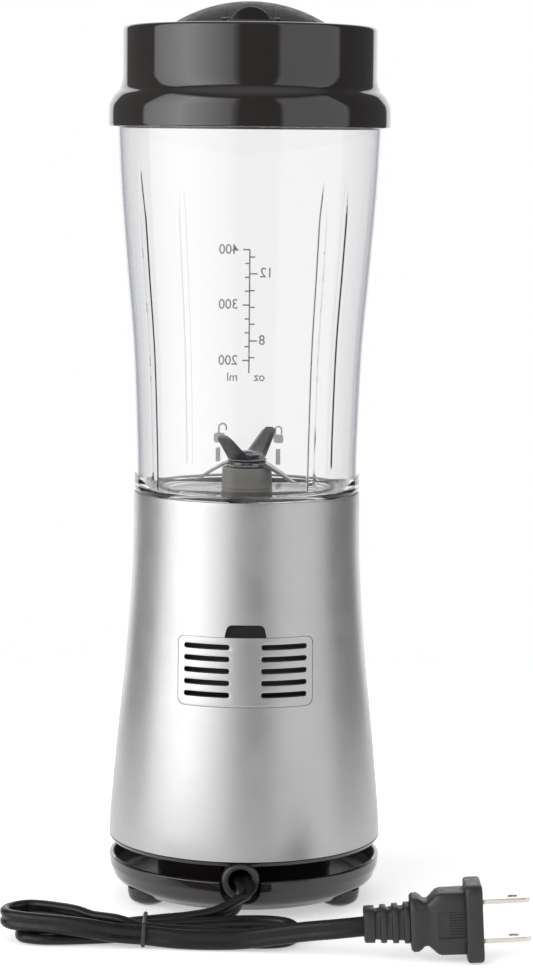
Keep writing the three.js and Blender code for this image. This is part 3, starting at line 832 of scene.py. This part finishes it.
def rib_depth(theta, z):
    """How far a rib stands in from the jar's inner wall. It is flat, and tapers to a point above."""
    if z > RIB["top"] or z < RIB["floor"]:
        return 0.0
    taper = (RIB["top"] - z) / RIB["tip"]
    width = math.radians(RIB["half"]) * min(1.0, taper) ** 0.7
    depth = RIB["depth"] * min(1.0, taper, (z - RIB["floor"]) / 3)
    for centre in RIB["centres"]:
        away = abs((theta - math.radians(centre) + math.pi) % math.tau - math.pi)
        if away < width:
            return depth * min(1.0, (1 - away / width) / RIB["slope"])
    return 0.0


def make_jar():
    outer = [(r, z) for r, z in catmull(JAR_LINE, 9)]
    upper = [(45.7, 266.5), (45.2, 268.6), (41.6, 270.8), (40.8, 271.8), (40.7, 285.2), (40.2, 286),
             (38.9, 286), (38.4, 285.4), (38.4, 272.4), (39.2, 271), (42.6, 268.6), (43.3, 266.8)]
    inner = [(r - 2.4, z) for r, z in reversed(outer)]
    bottom = [(35.9, 143.4), (35.4, 141.7), (31, 141.3), (29.6, 139.6), (29, 139.3), (8.7, 139.3),
              (8.7, 137.2), (30, 137.2), (30, 104.9), (30.5, 104.4), (31.5, 104.4), (32, 104.9),
              (32, 138.2), (32.6, 139.9),
              (37.9, 139.9), (38.5, 140.5), (38.7, 142)]
    outline = bottom[-2:] + outer + upper + inner + bottom[:-2]
    ribbed = range(2 + len(outer) + len(upper), 2 + len(outer) + len(upper) + len(inner))
    angles = sorted(
        {round(math.tau * i / 160, 6) for i in range(160)}
        | {round(math.radians(c + k * 0.3), 6) for c in (35, 125, 215, 305) for k in range(-8, 9)})
    points, faces = [], []
    count = len(angles)
    for row, (r, z) in enumerate(outline):
        for a in angles:
            reach = r - (rib_depth(a, z) if row in ribbed else 0)
            points.append((reach * math.cos(a), reach * math.sin(a), z))
    levels = len(outline)
    for level in range(levels):
        for i in range(count):
            k = (i + 1) % count
            a, b = level * count, ((level + 1) % levels) * count
            faces.append((a + i, a + k, b + k, b + i))
    jar = make("clear_jar_wall", points, faces, CLEAR, "jar_assembly", 50)
    finish(jar, "clear_jar", "jar")


def wrap_on_jar(piece, z_mid, lift=0.12):
    """Bends a flat mark, drawn in x and z at y = 0, on to the jar's front, to be read from there."""
    for vertex in piece.data.vertices:
        x, depth, z = vertex.co / MM
        height = z + z_mid
        radius = along(JAR_FINE, height) + lift + depth
        angle = math.pi / 2 + x / radius
        vertex.co = Vector((radius * math.cos(angle), radius * math.sin(angle), height)) * MM
    piece.data.flip_normals()
    return piece


def mark(name, outline, z_mid, ink=INK):
    piece = prism(name, outline, 0, 0.08, ink, axis="Y")
    wrap_on_jar(piece, z_mid)
    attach(piece, "jar_assembly")
    return finish(piece, "white_nylon")


def word(name, text, x, z, size):
    """Plain scale lettering on the jar's front, read from the button side."""
    curve = bpy.data.curves.new(name, "FONT")
    curve.body = text
    curve.size = size * MM
    curve.align_x = "CENTER"
    curve.align_y = "CENTER"
    curve.extrude = 0.03 * MM
    curve.offset = 0.05 * MM
    flat = bpy.data.objects.new(name + "_flat", curve)
    bpy.context.scene.collection.objects.link(flat)
    bpy.context.view_layer.update()
    mesh = bpy.data.meshes.new_from_object(flat.evaluated_get(bpy.context.evaluated_depsgraph_get()))
    bpy.data.objects.remove(flat)
    piece = bpy.data.objects.new(name, mesh)
    bpy.context.scene.collection.objects.link(piece)
    mesh.materials.append(INK)
    mesh.transform(Matrix.Translation((-x * MM, 0, 0)) @ Matrix.Rotation(math.pi / 2, 4, "X"))
    wrap_on_jar(piece, z)
    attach(piece, "jar_assembly")
    return finish(piece, "white_nylon")


def bar(name, x0, x1, z0, z1, ink=INK, radius=0.0):
    mid = (z0 + z1) / 2
    return mark(name, block_outline(-x1, -x0, z0 - mid, z1 - mid, radius), mid, ink)


def padlock(name, x, z, width, height, shift):
    """A generic padlock: a body with a shackle over it, moved sideways when it stands open."""
    body = height * 0.5
    low = z - height / 2
    bar(name + "_body", x - width / 2, x + width / 2, low, low + body, PALE_INK, width * 0.3)
    outer, inner = width * 0.4, width * 0.24
    rise = height - body - outer
    half_turn = [math.pi * k / 12 for k in range(13)]
    arch = [(outer * math.cos(a), rise + outer * math.sin(a)) for a in half_turn]
    under = [(inner * math.cos(a), rise + inner * math.sin(a)) for a in half_turn]
    foot = rise * 0.5 if shift else 0
    outline = [(outer, 0)] + arch + [(-outer, foot), (-inner, foot)] + under[::-1] + [(inner, 0)]
    mark(name + "_shackle", [(-x - shift + a, b) for a, b in outline], low + body, PALE_INK)


def make_scale():
    """The graduation: millilitres to one side of a stem, fluid ounces to the other."""
    bar("scale_stem", 0.13, 0.67, 177.0, 220.4)
    for step in range(9):
        z = 220.4 - step * 4.876
        long = step % 4 == 0
        bar(f"scale_ml_{step + 1}", 0.4 - (2.5 if long else 1.7), 0.4, z - 0.26, z + 0.26)
    for step in range(7):
        z = 217.8 - step * 5.9
        long = step in (1, 5)
        bar(f"scale_oz_{step + 1}", 0.4, 0.4 + (3.0 if long else 2.0), z - 0.26, z + 0.26)
    for text, z in (("400", 220.4), ("300", 201.1), ("200", 181.4)):
        word(f"label_{text}", text, -7.4, z, 4.9)
    word("label_12_oz", "12", 6.6, 212.2, 4.9)
    word("label_8_oz", "8", 5.1, 188.5, 4.9)
    word("label_ml", "ml", -5.8, 175.5, 4.2)
    word("label_oz", "oz", 4.3, 175.5, 4.2)
    padlock("padlock_open", -10.4, 155.9, 4.4, 7.1, 1.2)
    padlock("padlock_closed", 11.7, 155.5, 3.8, 6.2, 0)
    bar("lock_bar_open", -11.8, -10.0, 145.7, 150.7, PALE_INK)
    bar("lock_bar_closed", 10.7, 12.5, 144.6, 150.3, PALE_INK)


# ------------------------------------------------------------------ hub and blades
def make_hub():
    outline = rounded([
        (3.4, 130.5, 0), (14, 130.5, 0.5), (14, 136.9, 0.5), (8.3, 136.9, 0), (8.3, 139.4, 0),
        (8.75, 139.5, 0.1), (8.4, 148, 0.6), (3.4, 148, 0.2),
    ], 6)
    hub = lathe("blade_collar", outline, BEIGE, "jar_assembly", 96)
    finish(hub, "beige_hub", "blade_hub")


def blade_mesh(name, profile, widths, thick, turn, level, metal):
    """A bent strip: profile is (reach, height) from the middle out, widths its half width there."""
    side = [(x, z, w) for (x, z), w in zip(profile, widths)]
    line = []
    for a, b in zip(side, side[1:]):
        line += [tuple(p + (q - p) * k / 4 for p, q in zip(a, b)) for k in range(4)]
    line.append(side[-1])
    line = [(-x, z, w) for x, z, w in reversed(line[1:])] + line
    rings = []
    for x, z, w in line:
        edge = min(w * 0.45, 1.4)
        ring = [(-w, 0.08), (-w + edge, thick), (w - edge, thick), (w, 0.08), (w, 0), (-w, 0)]
        rings.append([(x, y, level + z + dz) for y, dz in ring])
    blade = loft(name, rings, metal, None, 25)
    blade.data.transform(Matrix.Rotation(math.radians(turn), 4, "Z"))
    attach(blade, "blades")
    return blade


def disc(name, radius, low, high, edge):
    outline = rounded([(2.3, low, 0), (radius, low, edge), (radius, high, edge), (2.3, high, 0)], 3)
    return lathe(name, outline, STEEL, "blades", 64)


def make_blades():
    rising = [(0, 0), (4.5, 0), (6.0, 0.3), (7.2, 1.0), (17.2, 8.0), (17.8, 8.4)]
    # The upper blades take the darker copy of the stainless: painted shade.
    up = blade_mesh("blade_upper_pair", rising, [4.4, 4.4, 4.3, 4.0, 2.7, 2.3], 0.9, 64, 150.9, SHADED_STEEL)
    finish(up, "stainless", "blade_up")
    falling = [(0, 0), (5.5, 0), (8, -0.8), (13.5, -3.8), (17.6, -6.4), (19.3, -7.0)]
    down = blade_mesh("blade_lower_pair", falling, [4.2, 3.8, 3.0, 2.2, 1.8, 0.8], 0.8, -26, 149.5, STEEL)
    finish(down, "stainless", "blade_down")
    washer = disc("hub_washer", 7, 148.3, 149.1, 0.3)
    finish(washer, "stainless", "lower_washer")
    spacer = disc("blade_spacer", 6.8, 150.45, 150.85, 0.1)
    finish(spacer, "stainless")
    collar = disc("nut_flange", 5, 152.2, 152.7, 0.2)
    finish(collar, "stainless")
    nut = loft("hex_nut", [
        [(r * math.cos(a), r * math.sin(a), z) for a in (math.tau * k / 6 for k in range(6))]
        for r, z in ((3.7, 152.3), (4, 152.6), (4, 153.0), (3.7, 153.2))
    ], STEEL, "blades", 20)
    finish(nut, "stainless", "blade_nut")
    rod = rounded([(0, 119.4, 0), (2, 119.4, 0.3), (2, 153.6, 0.5), (0, 153.6, 0)], 4)
    shaft = lathe("spindle", rod, STEEL, "blades", 32)
    finish(shaft, "stainless", "blade_shaft")


# ------------------------------------------------------------------ lid and cap
LID_TOP = 296.5
MOUND = {"y": 19, "half_x": 29, "half_y": 19.2, "rise": 9.4}
CAP = {"half": 7.7, "bottom": 298.7, "pin_y": 1.6, "pin_z": 298.3, "stub_y": 21.0}


def mound(name, material=None):
    """The rise in the lid: the cap of a sphere, narrowed from front to back."""
    half, rise = MOUND["half_x"], MOUND["rise"]
    radius = (half * half + rise * rise) / (2 * rise)
    widest = math.asin(half / radius)
    curve = [(radius * math.sin(a), radius * math.cos(a) - radius + rise) for a in
             (widest * (1 - k / 28) for k in range(28))]
    piece = lathe(name, [(0, -0.1), (half, -0.1)] + curve + [(0, rise)], material, None, 128)
    piece.data.transform(Matrix.Diagonal((1, MOUND["half_y"] / half, 1, 1)))
    piece.data.transform(Matrix.Translation((0, MOUND["y"] * MM, LID_TOP * MM)))
    return piece


def bar_x(name, radius, half, y, z):
    outline = [(y + a, z + b) for a, b in ellipse(radius, radius, 48)]
    return prism(name, outline, -half, half, axis="X")


def cap_slot(grow):
    half = CAP["half"] + grow
    outline = rounded([(-half, -8, 2), (half, -8, 2), (half, 60, 2), (-half, 60, 2)])
    return prism("cap_slot", outline, CAP["bottom"] - grow, 320)


def gate(grow):
    half = CAP["half"] + grow
    outline = block_outline(-half, half, CAP["pin_y"] - 3, CAP["pin_y"] + 3, 0.2)
    return prism("gate", outline, LID_TOP, CAP["bottom"] + 3)


def drink_hole():
    hole = prism("drink_hole", ellipse(5.9, 5.9, 64), 280, 310)
    hole.data.transform(Matrix.Translation((0, CAP["stub_y"] * MM, 0)))
    return hole


def make_lid():
    flare = catmull([(48, 267.6), (47.7, 270.4), (46.3, 273.4), (44.4, 275.6), (43.35, 278.4),
                     (43.15, 281)], 6)
    plate = LID_TOP - 2.6
    corner = [(41.75 + 1.4 * math.cos(a), LID_TOP - 1.4 + 1.4 * math.sin(a)) for a in
              (math.pi / 2 * k / 5 for k in range(6))]
    outline = (
        [(0, plate), (40.6, plate), (41.1, plate - 0.5), (41.1, 273), (46.3, 269.4), (46.3, 262.9),
         (46.5, 262.7), (47.3, 262.7), (47.85, 262.95), (48, 263.6)]
        + flare + corner + [(0, LID_TOP)]
    )
    lid = lathe("lid_shell", outline, BLACK)
    y, z = CAP["pin_y"], CAP["pin_z"]
    posts = prism("posts", block_outline(-10, 10, y - 1.3, y + 1.3, 0.1), LID_TOP - 1, z)
    boolean(lid, [posts, bar_x("barrel", 1.3, 10, y, z)], "UNION")
    boolean(lid, [gate(0.1), bar_x("swing", 1.7, CAP["half"] + 0.1, y, z), drink_hole()])
    soften(lid, 0.25, 3, 40)
    settle(lid)
    shade(lid, 40)
    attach(lid, "lid")
    finish(lid, "gloss_black", "travel_lid")
    rise = mound("lid_mound", LEAF)
    boolean(rise, [cap_slot(0.1), gate(0.1), drink_hole()])
    shade(rise, 40)
    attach(rise, "lid")
    finish(rise, "satin_black")


def make_cap():
    leaf = mound("hinged_cap", LEAF)
    boolean(leaf, [cap_slot(0)], "INTERSECT")
    stub = prism("stub", ellipse(5, 5, 64), LID_TOP - 2.3, 300)
    stub.data.transform(Matrix.Translation((0, CAP["stub_y"] * MM, 0)))
    boolean(leaf, [bar_x("knuckle", 1.4, CAP["half"], CAP["pin_y"], CAP["pin_z"]), stub], "UNION")
    soften(leaf, 0.2, 3, 40)
    settle(leaf)
    shade(leaf, 40)
    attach(leaf, "cap")
    finish(leaf, "satin_black", "flip_cap")
    centre = LID_TOP - 1
    low = math.asin((CAP["pin_z"] - centre) / CAP["half"])
    sweep = [low + (math.pi - 2 * low) * k / 40 for k in range(41)]
    outline = [(CAP["half"] * math.cos(a), centre + CAP["half"] * math.sin(a)) for a in sweep]
    lug = prism("cap_lug", outline, CAP["pin_y"] - 1.2, CAP["pin_y"] + 1.6, BLACK, None, "Y")
    soften(lug, 0.3, 3, 40)
    settle(lug)
    shade(lug, 40)
    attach(lug, "cap")
    finish(lug, "gloss_black")


# ------------------------------------------------------------------ inside pieces seen when it is apart
def make_seat():
    outline = rounded([
        (6, 100, 0.3), (36.2, 100, 0.5), (36.2, 139.2, 0.6), (34.4, 139.2, 0.6), (34.4, 102, 1.5),
        (6, 102, 0.3)], 4)
    finish(lathe("jar_well", outline, SATIN, "base"), "satin_black", "jar_seat")


# ------------------------------------------------------------------ floor, light and world
def make_floor():
    rim = [(x, y, -0.05) for x, y in ellipse(450, 450, 96)]
    floor = make("floor", rim, [tuple(range(96))], None)
    f = Finish("floor", (0.93, 0.93, 0.93), 0.9)
    f.shader.inputs["Emission Color"].default_value = (1, 1, 1, 1)
    f.shader.inputs["Emission Strength"].default_value = 0.45
    f.vary_color(f.noise(300, 2), 0.99, 1.01)
    floor.data.materials.append(f.material)


LEFT_LIGHT = 3.6
RIGHT_LIGHT = 1.05
BEHIND_LIGHT = 1.5
OVERHEAD_LIGHT = 0.4
AMBIENT = 0.16
# What rays through the jar find at its sides, beside 1 and white straight behind it.
JAR_SIDE_LIGHT = 0.45
JAR_SIDE_TINT = (0.86, 0.9, 1, 1)


def make_world():
    """A white studio: a bright backdrop behind, and a soft box either side of the camera.

    Rays through the jar find a light of their own, by compass direction. It only suits views from the
    blender's rear: from the front the whole jar looks blue-grey.
    """
    world = bpy.data.worlds.new("studio")
    bpy.context.scene.world = world
    world.use_nodes = True
    tree = world.node_tree
    nodes, links = tree.nodes, tree.links
    background = nodes["Background"]
    place = nodes.new("ShaderNodeTexCoord")
    split = nodes.new("ShaderNodeSeparateXYZ")
    links.new(place.outputs["Generated"], split.inputs["Vector"])

    def math_node(operation, a, b=None, clamp=False):
        node = nodes.new("ShaderNodeMath")
        node.operation = operation
        node.use_clamp = clamp
        for socket, value in zip(node.inputs, (a, b)):
            if value is None:
                continue
            if isinstance(value, (int, float)):
                socket.default_value = value
            else:
                links.new(value, socket)
        return node.outputs[0]

    def window(value, low, high, soft, soft_high=None):
        """1 where value is between low and high, falling off over soft."""
        rise = math_node("DIVIDE", math_node("SUBTRACT", value, low), soft, True)
        fall = math_node("DIVIDE", math_node("SUBTRACT", high, value), soft_high or soft, True)
        return math_node("MULTIPLY", rise, fall)

    x, y, z = (split.outputs[axis] for axis in "XYZ")
    # Azimuth in degrees away from the camera's side, positive to the right, -180 to 180.
    bearing = math_node("ARCTAN2", x, math_node("MULTIPLY", y, -1.0))
    azimuth = math_node("MULTIPLY", bearing, 180 / math.pi)
    rise = math_node("MULTIPLY", math_node("ARCSINE", z), 180 / math.pi)

    level = window(rise, -30, 52, 6)
    left = math_node("MULTIPLY", window(azimuth, -96, -8, 3.0, 8.0), level)
    off_centre = math_node("ABSOLUTE", math_node("ADD", azimuth, 58.0))
    fade = math_node("SUBTRACT", 1.0, math_node("MULTIPLY", off_centre, 0.0155))
    left = math_node("MULTIPLY", math_node("MULTIPLY", left, fade), LEFT_LIGHT)
    right = math_node("MULTIPLY", window(azimuth, 24, 88, 4.0), level)
    right = math_node("MULTIPLY", right, RIGHT_LIGHT)
    away = math_node("ABSOLUTE", azimuth)
    behind = math_node("DIVIDE", math_node("SUBTRACT", away, 143.0), 3.0, True)
    behind = math_node("MULTIPLY", math_node("MULTIPLY", behind, level), BEHIND_LIGHT)
    overhead = math_node("DIVIDE", math_node("SUBTRACT", z, 0.8), 0.15, True)
    overhead = math_node("MULTIPLY", overhead, OVERHEAD_LIGHT)
    total = math_node("ADD", math_node("ADD", left, right), math_node("ADD", behind, overhead))
    lit = math_node("ADD", total, AMBIENT)

    # What the clear jar shows: white straight behind it, greyer and bluer towards the sides.
    path = nodes.new("ShaderNodeLightPath")
    seen = math_node("MAXIMUM", path.outputs["Is Camera Ray"], path.outputs["Is Transmission Ray"])
    centred = math_node("DIVIDE", math_node("SUBTRACT", away, 140.0), 28.0, True)
    through = math_node("ADD", math_node("MULTIPLY", centred, 1 - JAR_SIDE_LIGHT), JAR_SIDE_LIGHT)
    shown = math_node("MAXIMUM", path.outputs["Is Camera Ray"], through)
    strength = nodes.new("ShaderNodeMix")
    strength.data_type = "FLOAT"
    links.new(seen, strength.inputs["Factor"])
    links.new(lit, strength.inputs["A"])
    links.new(shown, strength.inputs["B"])
    links.new(strength.outputs["Result"], background.inputs["Strength"])
    tint = nodes.new("ShaderNodeMix")
    tint.data_type = "RGBA"
    tint.inputs["A"].default_value = (1, 1, 1, 1)
    tint.inputs["B"].default_value = JAR_SIDE_TINT
    sideways = math_node("SUBTRACT", 1.0, math_node("MAXIMUM", centred, path.outputs["Is Camera Ray"]))
    tinted = math_node("MULTIPLY", path.outputs["Is Transmission Ray"], sideways, True)
    links.new(tinted, tint.inputs["Factor"])
    links.new(tint.outputs["Result"], background.inputs["Color"])


def set_colours():
    view = bpy.context.scene.view_settings
    view.view_transform = "Standard"
    view.look = "None"
    view.exposure = 0.0
    view.gamma = 1.0


# ------------------------------------------------------------------ the scene
make_camera()
cord, cord_line, cord_length = make_cord()
tie = make_tie()
plug_pieces = make_plug()
plug_blades = make_plug_blades()

dress_nodes()
make_tray()
make_core()
make_feet()
make_bushing()
make_shell()
make_grille()
make_drain()
make_button()
make_seat()
make_hub()
make_blades()
make_jar()
make_scale()
make_lid()
make_cap()
make_floor()
make_world()
set_colours()
